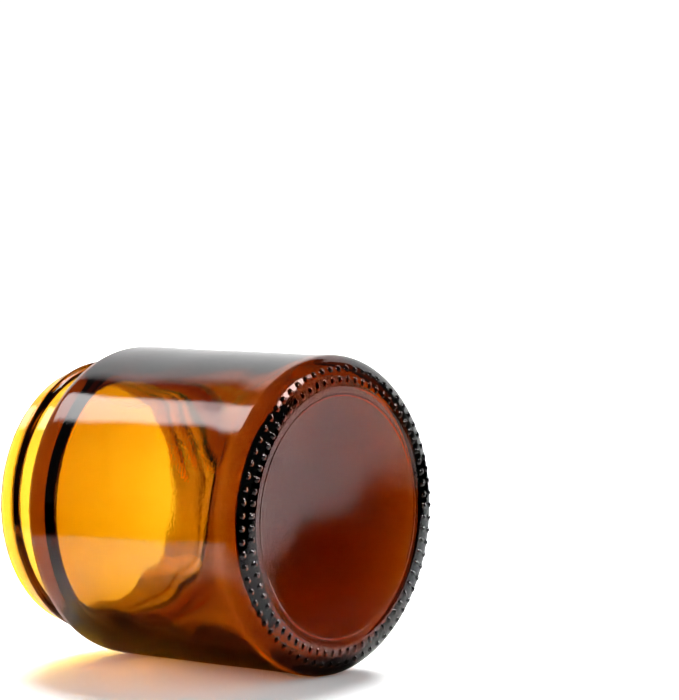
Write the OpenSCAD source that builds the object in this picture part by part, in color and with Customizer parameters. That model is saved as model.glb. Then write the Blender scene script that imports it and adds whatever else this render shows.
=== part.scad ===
// Straight-sided glass cream jar with a continuous-thread neck. The jar lies on its side on the plane
// z = 0, with its axis along X and its base towards +X. The screw cap and its liner are off, coaxial
// with the jar, a whole number of thread turns away from the closed place.

/* [Jar body] */
// Outer diameter of the body
body_d = 63.5; // [62:0.5:72]
// Height from the bearing ring to the lip
jar_h = 67.6; // [60:0.1:90]
// Thickness of the side wall at the shoulder
wall_top = 3.8; // [3.2:0.1:4]
// Thickness of the side wall at the heel
wall_low = 2.6; // [2.4:0.1:3.2]
// Thickness of the base at its rim
base_t = 6.0; // [5:0.1:8]
// Rise of the cavity's floor from its rim to its centre
base_dome = 2.4; // [0.5:0.1:3]
// Radius of the heel
heel_r = 3.8; // [3.5:0.1:5]
// Radius of the outer shoulder
shoulder_r = 3.6; // [3:0.1:4]
// Radius of the heel inside
inner_heel_r = 3.0; // [2:0.5:6]
// Radius of the shoulder inside
inner_shoulder_r = 7.0; // [5:0.5:8]

/* [Base] */
// Inner radius of the flat bearing ring
ring_inner_r = 26.4; // [25:0.1:26.8]
// Depth of the recessed panel at its edge
panel_depth = 0.6; // [0.4:0.1:1.6]
// Extra depth of the recessed panel at its centre
panel_dome = 1.6; // [0.2:0.1:2]
// Radius of the fine mould line on the panel
mould_line_r = 24.0; // [15:0.1:24]

/* [Neck] */
// Diameter over the thread
thread_d = 56.4; // [55.7:0.1:56.5]
// Diameter of the neck between the threads
neck_d = 54.0; // [53.8:0.1:54.1]
// Diameter of the mouth
mouth_d = 50.0; // [46:0.1:50.2]
// Height of the neck from the shoulder to the lip
neck_h = 10.6; // [10.2:0.1:11.4]
// Rounding of the outer lip edge
lip_r = 1.0; // [0.6:0.1:1.1]
// Rounding of the inner lip edge
lip_inner_r = 0.9; // [0.6:0.1:1]
// Axial travel in one turn of the thread
pitch = 4.2333; // [4.2333:Six turns an inch]
// Turns of the thread on the neck
neck_turns = 1.25; // [1:0.05:1.3]

/* [Cap] */
// Thickness of the cap's top
cap_top_t = 2.2; // [1.8:0.1:3]
// Depth of the closed skirt below the lip
skirt_h = 10.3; // [9.8:0.1:10.4]
// Grip grooves round the cap
groove_count = 72; // [36:4:90]
// Radius of each grip groove
groove_r = 0.8; // [0.6:0.1:1]
// Depth of each grip groove
groove_depth = 0.45; // [0.2:0.05:0.5]
// Thickness of the liner
liner_t = 1.2; // [1:0.1:2]
// Whole turns that the cap is away from the closed place
open_turns = 16; // [16:1:20]

/* [Hidden] */
$fn = 96;
eps = 0.01;

body_r = body_d / 2;
neck_r = neck_d / 2;
mouth_r = mouth_d / 2;
thread_r = thread_d / 2;
cavity_top_r = body_r - wall_top;
cavity_low_r = body_r - wall_low;
open_travel = open_turns * pitch;

// The shoulder: an arc from the side, then a cone that leaves the arc on its tangent
shoulder_z = jar_h - neck_h - 4;
shoulder_turn = 70;
shoulder_axis_r = body_r - shoulder_r;
cone_top_r = shoulder_axis_r + shoulder_r * cos(shoulder_turn);
cone_top_z = shoulder_z + shoulder_r * sin(shoulder_turn);
cone_rise = tan(90 - shoulder_turn);

// The concave fillet where the shoulder's cone meets the neck
root_r = 0.8;
root_axis_r = neck_r + root_r;
root_axis_z = cone_top_z + (cone_top_r - root_axis_r) * cone_rise + root_r / sin(shoulder_turn);

// The cavity's floor: a shallow dome inside the heel
floor_r = cavity_low_r - inner_heel_r;
inner_heel_z = base_t + inner_heel_r;
dome_r = (floor_r * floor_r + base_dome * base_dome) / (2 * base_dome);

// The cavity's shoulder: an arc from the side, then a cone that leaves it on its tangent
inner_turn = 50;
inner_shoulder_z = shoulder_z - 5;
inner_axis_r = cavity_top_r - inner_shoulder_r;
inner_cone_r = inner_axis_r + inner_shoulder_r * cos(inner_turn);
inner_cone_z = inner_shoulder_z + inner_shoulder_r * sin(inner_turn);
bore_z = inner_cone_z + (inner_cone_r - mouth_r) * tan(90 - inner_turn);

// The recessed panel inside the bearing ring, and its fine mould line
panel_r = ring_inner_r - 1.9;
line_w = 0.3;
line_depth = 0.18;
line_z = panel_depth + panel_dome * (1 - mould_line_r / panel_r) + line_depth;

// Thread forms, as half widths at the crest and at the root
crest_half = 0.5;
root_half = 1.25;
root_sink = 0.6;
neck_thread_z = jar_h - 8;
thread_fade = 24;
steps_a_turn = 40;
cap_bore_r = thread_r + 0.35;
cap_crest_r = neck_r + 0.35;
cap_crest_half = 0.4;
cap_root_half = 0.9;
cap_thread_drop = 1.7;
cap_thread_from = 60;
cap_thread_to = 460;

// The cap in its closed place
liner_gap = 0.05;
liner_z = jar_h + liner_gap;
cap_ceiling_z = liner_z + liner_t + liner_gap;
cap_top_z = cap_ceiling_z + cap_top_t;
skirt_z = jar_h - skirt_h;
cap_edge_r = 1.2;
skirt_edge = 0.4;
top_recess_r = 27.5;
top_recess = 0.3;
base_x = (cap_top_z + open_travel) / 2;

// Lays an upright piece on its side, with its base towards +X
module on_its_side() translate([base_x, 0, body_r]) rotate([0, -90, 0]) children();

// Moves a piece of the closure from the closed place to the open one
module taken_off() translate([0, 0, open_travel]) children();

function thread_lift(a, from, to, low, high) =
    low + (high - low) * min(1, (a - from) / thread_fade, (to - a) / thread_fade);

// A helical ridge that fades in and out. Each ring is a trapezium from root to crest.
module ridge(from, to, z0, sunk, flush, crest, root_w, crest_w) {
    rings = ceil((to - from) / 360 * steps_a_turn);
    points = [
        for (i = [0 : rings])
            let (a = from + (to - from) * i / rings)
            let (r = thread_lift(a, from, to, flush, crest))
            let (z = z0 + pitch * a / 360)
            for (p = [[sunk, -root_w], [r, -crest_w], [r, crest_w], [sunk, root_w]])
                [p[0] * cos(a), p[0] * sin(a), z + p[1]]
    ];
    sides = [
        for (i = [0 : rings - 1])
            for (k = [0 : 3])
                let (n = (k + 1) % 4)
                [4 * i + k, 4 * i + n, 4 * i + 4 + n, 4 * i + 4 + k]
    ];
    ends = [[3, 2, 1, 0], [for (k = [0 : 3]) 4 * rings + k]];
    outward = crest > sunk;
    faces = concat(sides, ends);
    polyhedron(points, outward ? faces : [for (f = faces) [for (k = [len(f) - 1 : -1 : 0]) f[k]]]);
}

// Half of the jar's outer outline, filled in to the axis
module jar_outline() {
    translate([0, heel_r]) square([body_r, shoulder_z - heel_r]);
    square([body_r - heel_r, heel_r + eps]);
    translate([body_r - heel_r, heel_r]) circle(heel_r);
    translate([shoulder_axis_r, shoulder_z]) circle(shoulder_r);
    polygon([
        [0, shoulder_z - eps],
        [shoulder_axis_r, shoulder_z - eps],
        [cone_top_r, cone_top_z],
        [neck_r - eps, cone_top_z + (cone_top_r - neck_r + eps) * cone_rise],
        [0, cone_top_z + (cone_top_r - neck_r + eps) * cone_rise],
    ]);
    difference() {
        polygon([
            [neck_r - eps, cone_top_z],
            [root_axis_r - root_r * cos(shoulder_turn), root_axis_z - root_r * sin(shoulder_turn)],
            [root_axis_r, root_axis_z],
            [neck_r - eps, root_axis_z],
        ]);
        translate([root_axis_r, root_axis_z]) circle(root_r);
    }
    translate([0, shoulder_z]) square([neck_r, jar_h - lip_r - shoulder_z]);
    translate([0, shoulder_z]) square([neck_r - lip_r, jar_h - shoulder_z]);
    translate([neck_r - lip_r, jar_h - lip_r]) circle(lip_r);
}

// Half of the cavity, from the inside of the base to above the lip
module cavity_outline() {
    difference() {
        translate([0, base_t]) square([floor_r, inner_heel_r + eps]);
        translate([0, base_t + base_dome - dome_r]) circle(dome_r, $fn = 720);
    }
    polygon([
        [0, inner_heel_z],
        [cavity_low_r, inner_heel_z],
        [cavity_top_r, inner_shoulder_z],
        [0, inner_shoulder_z],
    ]);
    translate([floor_r, inner_heel_z]) circle(inner_heel_r);
    translate([inner_axis_r, inner_shoulder_z]) circle(inner_shoulder_r);
    polygon([
        [0, inner_shoulder_z - eps],
        [inner_axis_r, inner_shoulder_z - eps],
        [inner_cone_r, inner_cone_z],
        [mouth_r, bore_z],
        [0, bore_z],
    ]);
    translate([0, bore_z - eps]) square([mouth_r, jar_h - bore_z + 1]);
    difference() {
        translate([0, jar_h - lip_inner_r]) square([mouth_r + lip_inner_r, lip_inner_r + 1]);
        translate([mouth_r + lip_inner_r, jar_h - lip_inner_r]) circle(lip_inner_r);
    }
}

// Half of the recess under the base, with the fine mould line
module panel_outline() {
    polygon([
        [0, -1],
        [ring_inner_r, -1],
        [ring_inner_r, 0],
        [panel_r, panel_depth],
        [0, panel_depth + panel_dome],
    ]);
    translate([mould_line_r, 0]) square([line_w, line_z]);
}

module glass_jar() {
    color("#8a3f0c") on_its_side() {
        difference() {
            rotate_extrude() intersection() {
                jar_outline();
                square([body_r + 1, jar_h + 1]);
            }
            rotate_extrude() intersection() {
                cavity_outline();
                square([body_r, jar_h + 2]);
            }
            rotate_extrude() panel_outline();
        }
        ridge(0, 360 * neck_turns, neck_thread_z, neck_r - root_sink, neck_r - root_sink / 2,
            thread_r, root_half, crest_half);
    }
}

// Half of the cap's outer outline in the closed place, filled in to the axis
module cap_outline() {
    difference() {
        union() {
            translate([0, skirt_z + skirt_edge])
                square([body_r, cap_top_z - cap_edge_r - skirt_z - skirt_edge]);
            translate([0, skirt_z]) square([body_r - skirt_edge, skirt_edge + eps]);
            translate([0, skirt_z]) square([body_r - cap_edge_r, cap_top_z - skirt_z]);
            translate([body_r - cap_edge_r, cap_top_z - cap_edge_r]) circle(cap_edge_r);
        }
        translate([0, cap_top_z - top_recess]) square([top_recess_r, 1]);
    }
}

module screw_cap() {
    groove_h = cap_ceiling_z - skirt_z + 1;
    color("#1b1b1d") on_its_side() taken_off() {
        difference() {
            rotate_extrude() intersection() {
                cap_outline();
                square([body_r + 1, cap_top_z + 1]);
            }
            translate([0, 0, skirt_z - 1]) cylinder(r = cap_bore_r, h = cap_ceiling_z - skirt_z + 1);
            for (i = [0 : groove_count - 1])
                rotate(360 * i / groove_count)
                    translate([body_r + groove_r - groove_depth, 0, skirt_z - 1])
                        cylinder(r = groove_r, h = groove_h, $fn = 24);
        }
        ridge(cap_thread_from, cap_thread_to, neck_thread_z - cap_thread_drop,
            cap_bore_r + root_sink, cap_bore_r + root_sink / 2, cap_crest_r, cap_root_half,
            cap_crest_half);
    }
}

module cap_liner() {
    color("#f2f0ea") on_its_side() taken_off()
        translate([0, 0, liner_z]) cylinder(r = cap_bore_r - 0.35, h = liner_t);
}

glass_jar();
screw_cap();
cap_liner();
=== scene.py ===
"""Looks for the amber glass cream jar, its screw cap and its liner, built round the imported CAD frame.

The jar lies on its side with its axis along X and its base towards +X. Its glass is one closed mesh, turned
from a profile of (radius, height above the base) and then given its thread, base stipples and moulding waves.
"""

import math

import bpy
import numpy as np
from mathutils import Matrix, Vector


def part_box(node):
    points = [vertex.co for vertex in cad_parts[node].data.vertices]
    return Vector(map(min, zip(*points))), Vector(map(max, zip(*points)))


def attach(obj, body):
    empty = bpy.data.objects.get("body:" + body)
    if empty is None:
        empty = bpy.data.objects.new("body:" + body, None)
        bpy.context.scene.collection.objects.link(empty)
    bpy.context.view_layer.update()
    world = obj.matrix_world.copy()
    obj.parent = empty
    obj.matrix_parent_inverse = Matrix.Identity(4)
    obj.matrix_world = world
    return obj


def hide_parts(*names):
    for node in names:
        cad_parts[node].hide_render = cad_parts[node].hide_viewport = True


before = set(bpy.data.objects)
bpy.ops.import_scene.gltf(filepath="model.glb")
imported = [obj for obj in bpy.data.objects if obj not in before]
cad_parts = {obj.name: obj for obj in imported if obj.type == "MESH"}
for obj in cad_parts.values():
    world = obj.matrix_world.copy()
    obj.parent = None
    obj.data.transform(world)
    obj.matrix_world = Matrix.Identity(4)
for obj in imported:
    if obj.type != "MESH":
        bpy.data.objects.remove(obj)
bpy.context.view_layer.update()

MM = 0.001

# The jar's place, from the CAD frame
JAR_LOW, JAR_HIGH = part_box("glass_jar")
BASE_X = JAR_HIGH.x
AXIS_Z = (JAR_LOW.z + JAR_HIGH.z) / 2
BODY_R = (JAR_HIGH.z - JAR_LOW.z) / 2 / MM
JAR_H = (JAR_HIGH.x - JAR_LOW.x) / MM

# The glass, in millimetres. A name that ends in _S is a height above the base.
WALL_LOW = 2.6
WALL_TOP = 3.8
BASE_T = 4.7
BASE_DOME = 4.0
STIPPLE_H = 0.35
HEEL_R = 4.0
HEEL_W = 5.4
STIPPLES_TO = math.radians(-42)
HEEL_FROM = math.radians(-38)
PANEL_R = 25.7
PANEL_DOME = 1.85
MOULD_LINE_R = 24.0
MOULD_LINE_H = 0.05
NECK_H = 10.6
SHOULDER_RISE = 4.0
SHOULDER_S = JAR_H - NECK_H - SHOULDER_RISE
SHOULDER_R = 3.6
SHOULDER_TURN = math.radians(70)
ROOT_R = 0.8
NECK_R = 27.0
THREAD_R = 28.2
MOUTH_R = 25.0
LIP_R = 1.0
LIP_INNER_R = 0.9
PITCH = 4.2333
NECK_TURNS = 1.25
THREAD_DROP = 8.0
THREAD_S = JAR_H - THREAD_DROP
THREAD_FADE = math.radians(24)
THREAD_CREST_HALF, THREAD_FOOT_HALF = 0.35, 1.15
INNER_LOW_R = BODY_R - WALL_LOW
INNER_TOP_R = BODY_R - WALL_TOP
INNER_HEEL_R = 2.2
INNER_SHOULDER_R = 7.0
INNER_SHOULDER_DROP = 5.0
INNER_SHOULDER_S = SHOULDER_S - INNER_SHOULDER_DROP
INNER_TURN = math.radians(50)
BORE_BEND = 2.2
CONE_BEND_R, CONE_BEND_S = 0.35, 0.2

# Base stipples
STIPPLES = 72
OUTER_DOT_R = 29.2
OUTER_DOT_H = 0.42
OUTER_DOT_HALF = 0.58
INNER_DOT_R = 26.95
INNER_DOT_LONG = 0.75
INNER_DOT_HALF = 0.5
DOT_STEEPNESS = 5

# The mould's parting line and its burrs. They show on the heel and the shoulder only, where the wall is at
# least SEAM_FREE inside the body's radius.
SEAM_H, BURR_H = 0.025, 0.12
SEAM_FLAT = 0.1
SEAM_FOOT, BURR_FOOT, BURR_LENGTH = 0.7, 0.8, 0.9
BURRS = (HEEL_R - 1.2, SHOULDER_S + 2.6)
SEAM_FREE = 0.15

# Where the moulding waves are felt
OUTER_SINK = 0.12
OUTER_FADE_LOW, OUTER_FADE_TOP = 6.0, 4.0
OUTER_TOP_S = JAR_H - 10
BORE_SHARE = 0.25
BORE_FROM_S = INNER_SHOULDER_S + 4.5
FULL_WAVES_R = 20.0

# Points round the jar: fine where the stipples are, coarser elsewhere
SEGS = 252
FINE_SEGS = 1008


# ---------------------------------------------------------------- camera

CAMERA_AZIMUTH = 41.05
CAMERA_ELEVATION = 5.9
CAMERA_DISTANCE = 0.7
CAMERA_LENS = 177.8
# What the camera aims at, from the middle of the jar's side: to its right, and up
AIM_RIGHT = 0.0242
AIM_UP = 0.0316


def make_camera():
    a, e = math.radians(CAMERA_AZIMUTH), math.radians(CAMERA_ELEVATION)
    back = Vector((math.sin(a) * math.cos(e), -math.cos(a) * math.cos(e), math.sin(e)))
    right = Vector((math.cos(a), math.sin(a), 0))
    middle = Vector((BASE_X - BODY_R * MM, 0, AXIS_Z))
    data = bpy.data.cameras.new("camera")
    data.lens = CAMERA_LENS
    data.sensor_width = 36
    data.clip_start, data.clip_end = 0.01, 20
    camera = bpy.data.objects.new("camera", data)
    camera.location = middle + back * CAMERA_DISTANCE
    aim = middle + right * AIM_RIGHT + Vector((0, 0, AIM_UP))
    camera.rotation_mode = "QUATERNION"
    camera.rotation_quaternion = (aim - camera.location).to_track_quat("-Z", "Y")
    bpy.context.scene.collection.objects.link(camera)
    bpy.context.scene.camera = camera


# ---------------------------------------------------------------- node helpers


class Nodes:
    """Adds nodes to one tree and links them; an input may be a socket, a number or a vector."""

    def __init__(self, tree):
        self.tree = tree
        tree.nodes.clear()

    def add(self, kind, inputs=None, **settings):
        node = self.tree.nodes.new(kind)
        for name, value in settings.items():
            setattr(node, name, value)
        for name, value in (inputs or {}).items():
            self.feed(node.inputs[name], value)
        return node

    def feed(self, socket, value):
        if isinstance(value, bpy.types.NodeSocket):
            self.tree.links.new(value, socket)
        else:
            socket.default_value = value

    def math(self, operation, *values):
        node = self.add("ShaderNodeMath", operation=operation)
        for socket, value in zip(node.inputs, values):
            self.feed(socket, value)
        return node.outputs[0]

    def step(self, value, low, high, to_low=0.0, to_high=1.0):
        """A smooth change from to_low to to_high as value goes from low to high."""
        node = self.add("ShaderNodeMapRange", interpolation_type="SMOOTHSTEP")
        for name, number in (
            ("Value", value),
            ("From Min", low),
            ("From Max", high),
            ("To Min", to_low),
            ("To Max", to_high),
        ):
            self.feed(node.inputs[name], number)
        return node.outputs["Result"]

    def blend(self, factor, a, b):
        """The colour a at factor 0 and b at factor 1."""
        node = self.add("ShaderNodeMix", data_type="RGBA")
        for socket, value in ((node.inputs[0], factor), (node.inputs[6], a), (node.inputs[7], b)):
            self.feed(socket, value)
        return node.outputs[2]

    def blend_value(self, factor, a, b):
        """The number a at factor 0 and b at factor 1."""
        return self.add("ShaderNodeMix", {0: factor, 2: a, 3: b}, data_type="FLOAT").outputs[0]


def grey(value):
    return (value, value, value, 1)


# ---------------------------------------------------------------- studio

# Light seen by each kind of ray: straight at the camera, through the glass, and lighting the floor
PAGE_WHITE = 1.1
THROUGH_GLASS = 3.8
FLOOR_FILL = 0.05
FLOOR_KEY = 60.0
GLOW = 2.0
KEY_AZIMUTH, KEY_ELEVATION, KEY_HALF = 126, 38, 20
# What the glass reflects: a dark room with a white backdrop behind the jar, one softbox and one small lamp
ROOM_DARK = 0.03
BACKDROP_LIGHT = 1.3
BACKDROP_AZIMUTH = 120
BACKDROP_HALF = 45
BACKDROP_TOP = 45
SOFTBOX_LIGHT = 6.0
SOFTBOX_AZIMUTH = -167
SOFTBOX_HALF = 11
SOFTBOX_LOW, SOFTBOX_HIGH = 38, 49.5
LAMP_LIGHT = 14.0
LAMP_AZIMUTH, LAMP_ELEVATION, LAMP_HALF = 32, 30, 9
EDGE = 2.5
# Painted reflection shade: the floor that the glass reflects is painted black past these lines, as if a
# white sheet ran back to the backdrop. Each line: the way it faces, how far off it is, and how soft it looks
REFLECTION_SHADE_EDGES = ((-133, 0.089, 0.010), (35, 0.330, 0.004), (-43, 0.13, 0.02))
PAPER = 0.85
# Painted shade: darker copies of the paper's tone, for the floor seen through the glass and for the floor the
# glass reflects
PAPER_SHADE_THROUGH = 0.47
PAPER_SHADE_REFLECTED = 0.35
FLOOR_R = 2.5
FLOOR_SIDES = 96


def towards(n, x, y, azimuth):
    """How far the point (x, y) lies towards azimuth."""
    a = math.radians(azimuth)
    return n.math("MULTIPLY_ADD", y, math.sin(a), n.math("MULTIPLY", x, math.cos(a)))


def sector(n, x, y, azimuth, half):
    """1 where the horizontal direction (x, y) is within half degrees of azimuth, with a soft edge."""
    along = towards(n, x, y, azimuth)
    length = n.math("SQRT", n.math("ADD", n.math("MULTIPLY", x, x), n.math("MULTIPLY", y, y)))
    cosine = n.math("DIVIDE", along, n.math("MAXIMUM", length, 1e-4))
    low, high = (math.cos(math.radians(half + edge)) for edge in (EDGE, -EDGE))
    return n.step(cosine, low, high)


def disc(n, direction, azimuth, elevation, half):
    """1 where the direction is within half degrees of the given one, with a soft edge."""
    a, e = math.radians(azimuth), math.radians(elevation)
    centre = (math.cos(a) * math.cos(e), math.sin(a) * math.cos(e), math.sin(e))
    dot_product = n.add("ShaderNodeVectorMath", {0: direction, 1: centre}, operation="DOT_PRODUCT")
    low, high = (math.cos(math.radians(half + edge)) for edge in (EDGE, -EDGE))
    return n.step(dot_product.outputs["Value"], low, high)


def make_world():
    world = bpy.data.worlds.new("studio")
    world.use_nodes = True
    bpy.context.scene.world = world
    n = Nodes(world.node_tree)
    path = n.add("ShaderNodeLightPath").outputs
    direction = n.add("ShaderNodeTexCoord").outputs["Generated"]
    x, y, z = n.add("ShaderNodeSeparateXYZ", {"Vector": direction}).outputs
    elevation = n.math("DEGREES", n.math("ARCSINE", z))

    backdrop = n.math(
        "MULTIPLY",
        sector(n, x, y, BACKDROP_AZIMUTH, BACKDROP_HALF),
        n.step(elevation, BACKDROP_TOP - EDGE, BACKDROP_TOP + EDGE, 1, 0),
    )
    band = n.math(
        "MULTIPLY",
        n.step(elevation, SOFTBOX_LOW - EDGE, SOFTBOX_LOW + EDGE),
        n.step(elevation, SOFTBOX_HIGH - EDGE, SOFTBOX_HIGH + EDGE, 1, 0),
    )
    softbox = n.math("MULTIPLY", sector(n, x, y, SOFTBOX_AZIMUTH, SOFTBOX_HALF), band)
    room = n.math("MULTIPLY_ADD", backdrop, BACKDROP_LIGHT, ROOM_DARK)
    room = n.math("MULTIPLY_ADD", softbox, SOFTBOX_LIGHT, room)
    lamp = disc(n, direction, LAMP_AZIMUTH, LAMP_ELEVATION, LAMP_HALF)
    room = n.math("MULTIPLY_ADD", lamp, LAMP_LIGHT, room)
    key = disc(n, direction, KEY_AZIMUTH, KEY_ELEVATION, KEY_HALF)
    on_floor = n.math("MULTIPLY_ADD", key, FLOOR_KEY, FLOOR_FILL)
    through = n.math("GREATER_THAN", path["Transmission Depth"], 0.5)
    on_floor = n.math("MULTIPLY", on_floor, n.blend_value(through, 1.0, GLOW))

    reflected = n.math("GREATER_THAN", path["Glossy Depth"], 0.5)
    lighting = n.math("GREATER_THAN", path["Diffuse Depth"], 0.5)
    light = n.blend_value(reflected, THROUGH_GLASS, room)
    light = n.blend_value(lighting, light, on_floor)
    light = n.blend_value(path["Is Camera Ray"], light, PAGE_WHITE)
    background = n.add("ShaderNodeBackground", {"Color": grey(1), "Strength": light})
    n.add("ShaderNodeOutputWorld", {"Surface": background.outputs[0]})


def floor_material():
    """Pale paper with painted shade: a darker tone where it is seen through the glass, a darker one still
    where the glass reflects it, and black in those reflections past the edge lines.
    """
    material = bpy.data.materials.new("pale_paper_painted_shade")
    material.use_nodes = True
    n = Nodes(material.node_tree)
    path = n.add("ShaderNodeLightPath").outputs
    place = n.add("ShaderNodeTexCoord").outputs["Object"]
    x, y, _ = n.add("ShaderNodeSeparateXYZ", {"Vector": place}).outputs
    # Painted reflection shade: the floor the glass reflects is darker, and painted black past each edge line
    seen = PAPER_SHADE_REFLECTED
    for azimuth, distance, soft in REFLECTION_SHADE_EDGES:
        edge = n.step(towards(n, x, y, azimuth), distance - soft, distance + soft, 1, 0)
        seen = n.math("MULTIPLY", seen, edge)
    reflected = n.math("GREATER_THAN", path["Glossy Depth"], 0.5)
    through = n.math("GREATER_THAN", path["Transmission Depth"], 0.5)
    # Painted shade: the paper's tone is darker where it is seen through the glass or in a reflection
    tone = n.blend_value(reflected, n.blend_value(through, PAPER, PAPER_SHADE_THROUGH), seen)
    colour = n.add("ShaderNodeCombineColor", {"Red": tone, "Green": tone, "Blue": tone}).outputs[0]
    shader = n.add("ShaderNodeBsdfDiffuse", {"Color": colour})
    n.add("ShaderNodeOutputMaterial", {"Surface": shader.outputs[0]})
    return material


def make_floor():
    turns = [2 * math.pi * i / FLOOR_SIDES for i in range(FLOOR_SIDES)]
    ring = [(FLOOR_R * math.cos(t), FLOOR_R * math.sin(t), 0) for t in turns]
    mesh = bpy.data.meshes.new("floor")
    mesh.from_pydata(ring, [], [list(range(FLOOR_SIDES))])
    mesh.materials.append(floor_material())
    floor = bpy.data.objects.new("floor", mesh)
    bpy.context.scene.collection.objects.link(floor)


# ---------------------------------------------------------------- glass profile


def arc(centre_r, centre_s, size_r, size_s, start, end, count):
    """Points (r, s) on an ellipse's arc, both ends included. Angles are in radians from +r."""
    steps = [start + (end - start) * i / count for i in range(count + 1)]
    return [(centre_r + size_r * math.cos(t), centre_s + size_s * math.sin(t)) for t in steps]


def line(start, end, count, ends=(True, True)):
    """Points (r, s) along a straight line in count steps; ends says which end points are included."""
    first = 0 if ends[0] else 1
    last = count if ends[1] else count - 1
    return [
        tuple(a + (b - a) * i / count for a, b in zip(start, end)) for i in range(first, last + 1)
    ]


def rounded(before, corner, after, count):
    """Points of a smooth curve from before to after that leaves both along the lines to corner."""
    points = []
    for i in range(count + 1):
        t = i / count
        weights = ((1 - t) ** 2, 2 * t * (1 - t), t * t)
        points.append(
            tuple(sum(w * p[k] for w, p in zip(weights, (before, corner, after))) for k in (0, 1))
        )
    return points


def panel_height(r):
    return STIPPLE_H + PANEL_DOME * (1 - (r / PANEL_R) ** 2)


def base_profile():
    """The recessed panel, from its centre out."""
    radii = [1.0, 2.2, *(3.6 + 1.6 * i for i in range(12)), 22.6, 23.4]
    radii += [MOULD_LINE_R + d for d in (-0.35, -0.2, -0.1, 0, 0.1, 0.2, 0.35, 0.8)]
    return [(r, panel_height(r)) for r in [*radii, PANEL_R - 0.3, PANEL_R - 0.1]]


def stipple_profile():
    """The flat ring and the lower half of the heel, which carry the stipples."""
    heel_axis = BODY_R - HEEL_W
    ring = line((PANEL_R, STIPPLE_H), (heel_axis, STIPPLE_H), 6, (True, False))
    return ring + arc(
        heel_axis, HEEL_R, HEEL_W, HEEL_R - STIPPLE_H, -math.pi / 2, STIPPLES_TO, 32
    )


def outer_profile():
    """From the upper half of the heel up the side and over the shoulder to the neck's foot."""
    heel = arc(BODY_R - HEEL_W, HEEL_R, HEEL_W, HEEL_R - STIPPLE_H, HEEL_FROM, 0, 11)
    side_foot = [(BODY_R, HEEL_R + d) for d in (0.3, 0.45, 0.6, 0.75, 1.0, 1.6)]
    side = line((BODY_R, HEEL_R + 2.6), (BODY_R, SHOULDER_S - 1), 24)
    shoulder_axis = BODY_R - SHOULDER_R
    shoulder = arc(shoulder_axis, SHOULDER_S, SHOULDER_R, SHOULDER_R, 0, SHOULDER_TURN, 16)
    top_r, top_s = shoulder[-1]
    rise = 1 / math.tan(SHOULDER_TURN)
    root_axis = NECK_R + ROOT_R
    root_s = top_s + (top_r - root_axis) * rise + ROOT_R / math.sin(SHOULDER_TURN)
    root = arc(root_axis, root_s, ROOT_R, ROOT_R, math.pi + SHOULDER_TURN, math.pi, 7)
    cone = line(shoulder[-1], root[0], 4, (False, False))
    return heel + side_foot + side + shoulder + cone + root


def neck_profile(foot_s):
    """The threaded neck from its foot, then the lip and its inner rounding down to the top of the bore."""
    top = JAR_H - LIP_R
    neck = line((NECK_R, foot_s), (NECK_R, top), 40, (False, False))
    lip = arc(NECK_R - LIP_R, top, LIP_R, LIP_R, 0, math.pi / 2, 9)
    inner = arc(
        MOUTH_R + LIP_INNER_R, JAR_H - LIP_INNER_R, LIP_INNER_R, LIP_INNER_R,
        math.pi / 2, math.pi, 8,
    )
    return neck + lip + inner


def inner_profile():
    """The bore, and the cavity's shoulder, wall, heel and floor, down to the axis."""
    axis_r = INNER_TOP_R - INNER_SHOULDER_R
    shoulder = arc(
        axis_r, INNER_SHOULDER_S, INNER_SHOULDER_R, INNER_SHOULDER_R, INNER_TURN, 0, 12
    )
    cone_r, cone_s = shoulder[0]
    corner = (MOUTH_R, cone_s + (cone_r - MOUTH_R) / math.tan(INNER_TURN))
    bore_end = (MOUTH_R, corner[1] + BORE_BEND)
    bore = line((MOUTH_R, JAR_H - LIP_INNER_R), bore_end, 7, (False, False))
    bend = rounded(bore_end, corner, (cone_r - CONE_BEND_R, cone_s + CONE_BEND_S), 8)
    heel_s = BASE_T + INNER_HEEL_R
    wall = line((INNER_TOP_R, INNER_SHOULDER_S), (INNER_LOW_R, heel_s), 26, (False, False))
    floor_r = INNER_LOW_R - INNER_HEEL_R
    heel = arc(floor_r, heel_s, INNER_HEEL_R, INNER_HEEL_R, 0, -math.pi / 2, 11)
    steps = 14
    shares = [i / steps for i in range(steps - 1, 0, -1)]
    floor = [(floor_r * q, BASE_T + BASE_DOME * (1 - q * q)) for q in shares]
    return bore + bend + shoulder + wall + heel + floor


# ---------------------------------------------------------------- glass surface


def wave_terms(seed, count, longest, shortest, slope):
    """Waves round and along a wall of about the jar's radius: (turns, rate, phase, height), in mm."""
    random = np.random.default_rng(seed)
    terms = []
    for _ in range(count):
        length = longest * (shortest / longest) ** random.random()
        way = random.random() * math.pi
        rate = 2 * math.pi / length
        turns = round(rate * math.cos(way) * BODY_R)
        height = slope / rate * math.sqrt(2 / count)
        terms.append((turns, rate * math.sin(way), random.random() * 2 * math.pi, height))
    return terms


def waves(terms, theta, along):
    return sum(h * np.sin(turns * theta + rate * along + phase) for turns, rate, phase, h in terms)


INNER_WAVES = wave_terms(seed=11, count=26, longest=34.0, shortest=8.0, slope=0.018)
OUTER_WAVES = wave_terms(seed=5, count=18, longest=40.0, shortest=14.0, slope=0.006)
PANEL_WAVES = wave_terms(seed=8, count=16, longest=30.0, shortest=12.0, slope=0.004)


def smooth_ridge(distance, flat, foot):
    """1 within flat of the middle, falling smoothly to 0 at foot."""
    t = np.clip((np.abs(distance) - flat) / (foot - flat), 0, 1)
    return 0.5 + 0.5 * np.cos(math.pi * t)


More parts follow.
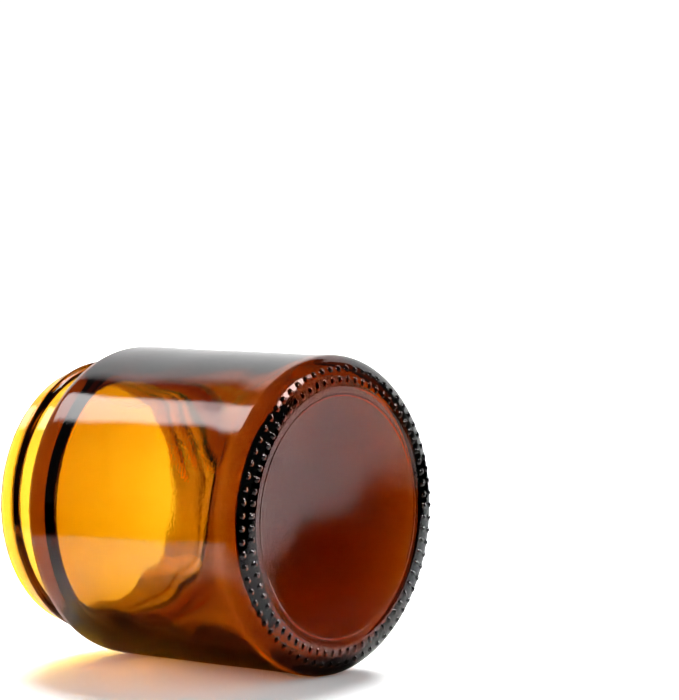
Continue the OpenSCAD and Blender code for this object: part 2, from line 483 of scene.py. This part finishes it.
def thread_lift(theta, s):
    """How far the thread stands out of the neck. The ridge overlaps itself past one turn."""
    lift = np.zeros_like(theta)
    end = 2 * math.pi * NECK_TURNS
    for turn in range(math.ceil(NECK_TURNS)):
        angle = theta + 2 * math.pi * turn
        fade = np.clip(np.minimum(angle, end - angle) / THREAD_FADE, 0, 1)
        middle = THREAD_S + PITCH * angle / (2 * math.pi)
        across = smooth_ridge(s - middle, THREAD_CREST_HALF, THREAD_FOOT_HALF)
        ridge = across * (3 * fade**2 - 2 * fade**3)
        lift = np.maximum(lift, ridge * (angle <= end))
    return lift * (THREAD_R - NECK_R)


def dot(along, across, half_along, half_across):
    """A round or oval dome of height 1 at its middle."""
    away = np.clip(1 - (along / half_along) ** 2 - (across / half_across) ** 2, 0, 1)
    return np.sqrt(away) * np.clip(away * DOT_STEEPNESS, 0, 1)


def stipple_lift(theta, r, along, outer_along, inner_along):
    """The two rows of dots. along is how far a row lies along the profile."""
    step = 2 * math.pi / STIPPLES
    across = ((theta + step / 2) % step - step / 2) * r
    outer = dot(along - outer_along, across, OUTER_DOT_HALF, OUTER_DOT_HALF)
    inner = dot(along - inner_along, across, INNER_DOT_LONG, INNER_DOT_HALF)
    return np.maximum(OUTER_DOT_H * outer, STIPPLE_H * inner)


def seam_lift(theta, s):
    """The mould's parting line at each side, with a small burr at each height in BURRS."""
    from_seam = np.minimum(np.abs(theta - math.pi / 2), np.abs(theta - 3 * math.pi / 2)) * BODY_R
    line_lift = SEAM_H * smooth_ridge(from_seam, SEAM_FLAT, SEAM_FOOT)
    burr = sum(smooth_ridge(s - place, SEAM_FLAT, BURR_LENGTH) for place in BURRS)
    return line_lift + BURR_H * burr * smooth_ridge(from_seam, SEAM_FLAT, BURR_FOOT)


def profile_normals(profile):
    """Unit normals (nr, ns) that point out of the glass, for a profile that runs up the outside."""
    points = np.array([(0, profile[0][1])] + profile + [(0, profile[-1][1])])
    tangent = points[2:] - points[:-2]
    tangent /= np.linalg.norm(tangent, axis=1)[:, None]
    return np.stack([tangent[:, 1], -tangent[:, 0]], axis=1)


def ring_count(r, fine):
    """How many points a ring of radius r has."""
    if fine:
        return FINE_SEGS
    if r < 5:
        return SEGS // 4
    return SEGS // 2 if r < 11 else SEGS


def to_world(r, theta, s):
    """Millimetres round the jar's axis to metres in the frame; theta is 0 at the top and rises to +Y."""
    return np.stack(
        [BASE_X - s * MM, r * np.sin(theta) * MM, AXIS_Z + r * np.cos(theta) * MM], axis=-1
    )


def row_faces(first_a, count_a, first_b, count_b):
    """Faces between two rings of points, where one may have a whole number of times the other's points."""
    faces = []
    fine, coarse = max(count_a, count_b), min(count_a, count_b)
    ratio = fine // coarse
    for j in range(coarse):
        k = (j + 1) % coarse
        run = [(j * ratio + i) % fine for i in range(ratio + 1)]
        if count_a <= count_b:
            face = [first_a + k, *(first_b + i for i in reversed(run)), first_a + j]
        else:
            face = [*(first_a + i for i in run), first_b + k, first_b + j]
        faces.append(face)
    return faces


def glass_surface():
    """Vertices and faces of the whole jar, from the middle of the base's outside to that of its inside."""
    base = base_profile()
    stipples = stipple_profile()
    outer = outer_profile()
    neck = neck_profile(outer[-1][1])
    inner = inner_profile()
    profile = base + stipples + outer + neck + inner
    zones = (
        ["panel"] * len(base)
        + ["stipple"] * len(stipples)
        + ["outer"] * len(outer)
        + ["neck"] * len(neck)
        + ["inner"] * len(inner)
    )
    normals = profile_normals(profile)
    steps = np.linalg.norm(np.diff(np.array(profile), axis=0), axis=1)
    along = np.concatenate([[0], np.cumsum(steps)])
    in_zone = [i for i, zone in enumerate(zones) if zone == "stipple"]
    dot_along = [
        along[min(in_zone, key=lambda i: abs(profile[i][0] - r))] for r in (OUTER_DOT_R, INNER_DOT_R)
    ]

    points, faces, firsts, counts = [], [], [], []
    total = 0
    for i, ((r, s), (nr, ns), zone) in enumerate(zip(profile, normals, zones)):
        count = ring_count(r, zone == "stipple")
        theta = np.arange(count) * 2 * math.pi / count
        lift = surface_lift(zone, theta, r, s, along[i], dot_along)
        points.append(to_world(r + lift * nr, theta, s + lift * ns))
        firsts.append(total)
        counts.append(count)
        total += count
    for i in range(len(profile) - 1):
        faces += row_faces(firsts[i], counts[i], firsts[i + 1], counts[i + 1])
    middle = panel_height(0) + panel_waves(0.0, 0.0)
    ends = [to_world(0.0, 0.0, middle), to_world(0.0, 0.0, profile[-1][1] + 0.02)]
    points.append(np.array(ends))
    faces += [[total, firsts[0] + (j + 1) % counts[0], firsts[0] + j] for j in range(counts[0])]
    last, n = firsts[-1], counts[-1]
    faces += [[total + 1, last + j, last + (j + 1) % n] for j in range(n)]
    return np.concatenate(points), faces


def surface_lift(zone, theta, r, s, along, dot_along):
    """How far the surface stands out of the plain profile at one ring, in mm."""
    if zone == "panel":
        rim = MOULD_LINE_H * smooth_ridge(r - MOULD_LINE_R, 0.05, 0.25)
        return rim - panel_waves(theta, r) * min(1, (PANEL_R - min(r, PANEL_R)) / 2)
    if zone == "stipple":
        return stipple_lift(theta, r, along, *dot_along)
    if zone == "outer":
        low_fade = min(1, max(0, s - HEEL_R) / OUTER_FADE_LOW)
        top_fade = min(1, max(0, OUTER_TOP_S - s) / OUTER_FADE_TOP)
        dents = np.minimum(waves(OUTER_WAVES, theta, s) - OUTER_SINK, 0.0) * (low_fade * top_fade)
        return dents + seam_lift(theta, s) * inside(r)
    if zone == "neck":
        return thread_lift(theta, s) if s < JAR_H - LIP_R else theta * 0
    return waves(INNER_WAVES, theta, s) * inner_share(r, s)


def inside(r):
    """0 where the wall is at its full radius, so that nothing stands out past the body."""
    return 1.0 if r < BODY_R - SEAM_FREE else 0.0


def panel_waves(theta, r):
    x, y = r * np.cos(theta), r * np.sin(theta)
    return sum(
        h * np.sin(turns / BODY_R * x + rate * y + phase) for turns, rate, phase, h in PANEL_WAVES
    )


def inner_share(r, s):
    """How strong the inner waves are: full on the wall, weak in the bore, fading to the axis."""
    bore = BORE_SHARE if s > BORE_FROM_S else 1.0
    return bore * min(1, r / FULL_WAVES_R)


def make_glass_jar():
    points, faces = glass_surface()
    mesh = bpy.data.meshes.new("jar_glass")
    mesh.from_pydata(points.tolist(), [], faces)
    mesh.shade_smooth()
    mesh.materials.append(amber_glass())
    jar = bpy.data.objects.new("jar_glass", mesh)
    bpy.context.scene.collection.objects.link(jar)
    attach(jar, "jar")
    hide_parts("glass_jar")


# ---------------------------------------------------------------- materials

# Light taken away by each metre of amber glass: about 345 of red, 605 of green and 1900 of blue
GLASS_DENSITY = 1900
GLASS_TINT = (0.818, 0.682, 0.0, 1)


def shader_material(name):
    material = bpy.data.materials.new(name)
    material.use_nodes = True
    return material, Nodes(material.node_tree)


def amber_glass():
    """Clear, smooth, strongly coloured glass with the faint orange peel of a moulded surface."""
    material, n = shader_material("amber_glass")
    place = n.add("ShaderNodeTexCoord").outputs["Object"]
    peel = n.add("ShaderNodeTexNoise", {"Vector": place, "Scale": 2200, "Detail": 1.5, "Roughness": 0.45})
    bump = n.add(
        "ShaderNodeBump", {"Height": peel.outputs["Fac"], "Strength": 1.0, "Distance": 0.000007}
    )
    shader = n.add(
        "ShaderNodeBsdfPrincipled",
        {
            "Base Color": grey(1),
            "Roughness": 0.0,
            "IOR": 1.51,
            "Transmission Weight": 1.0,
            "Normal": bump.outputs["Normal"],
        },
    )
    inside_glass = n.add("ShaderNodeVolumeAbsorption", {"Color": GLASS_TINT, "Density": GLASS_DENSITY})
    n.add(
        "ShaderNodeOutputMaterial",
        {"Surface": shader.outputs[0], "Volume": inside_glass.outputs[0]},
    )
    return material


def cap_plastic():
    """Satin black moulded plastic: fine pebbled texture, and roughness that wanders a little."""
    material, n = shader_material("cap_plastic")
    place = n.add("ShaderNodeTexCoord").outputs["Object"]
    grain = n.add("ShaderNodeTexNoise", {"Vector": place, "Scale": 3200, "Detail": 3, "Roughness": 0.6})
    cloud = n.add("ShaderNodeTexNoise", {"Vector": place, "Scale": 120, "Detail": 4})
    bump = n.add(
        "ShaderNodeBump", {"Height": grain.outputs["Fac"], "Strength": 0.6, "Distance": 0.00003}
    )
    colour = n.blend(cloud.outputs["Fac"], (0.0040, 0.0040, 0.0046, 1), (0.0072, 0.0072, 0.0080, 1))
    shader = n.add(
        "ShaderNodeBsdfPrincipled",
        {
            "Base Color": colour,
            "Roughness": n.step(cloud.outputs["Fac"], 0.3, 0.7, 0.36, 0.46),
            "Normal": bump.outputs["Normal"],
        },
    )
    n.add("ShaderNodeOutputMaterial", {"Surface": shader.outputs[0]})
    return material


def liner_foam():
    """White closed-cell foam with a faintly cellular face."""
    material, n = shader_material("liner_foam")
    place = n.add("ShaderNodeTexCoord").outputs["Object"]
    cells = n.add("ShaderNodeTexVoronoi", {"Vector": place, "Scale": 2200})
    bump = n.add(
        "ShaderNodeBump", {"Height": cells.outputs["Distance"], "Strength": 0.4, "Distance": 0.00006}
    )
    colour = n.blend(cells.outputs["Distance"], (0.78, 0.77, 0.74, 1), (0.88, 0.87, 0.84, 1))
    shader = n.add(
        "ShaderNodeBsdfPrincipled",
        {"Base Color": colour, "Roughness": 0.62, "Normal": bump.outputs["Normal"]},
    )
    n.add("ShaderNodeOutputMaterial", {"Surface": shader.outputs[0]})
    return material


def finish_node(name, material):
    """Gives a CAD node that stays in view its material."""
    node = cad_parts[name]
    node.data.materials.clear()
    node.data.materials.append(material)
    return node


# ---------------------------------------------------------------- render settings that are part of the look


def set_light_paths():
    scene = bpy.context.scene
    scene.view_settings.view_transform = "Standard"
    scene.cycles.max_bounces = 32
    scene.cycles.transmission_bounces = 32
    scene.cycles.glossy_bounces = 12
    scene.cycles.diffuse_bounces = 3
    scene.cycles.sample_clamp_indirect = 60


make_camera()
make_world()
make_floor()
make_glass_jar()
finish_node("screw_cap", cap_plastic())
finish_node("cap_liner", liner_foam())
set_light_paths()
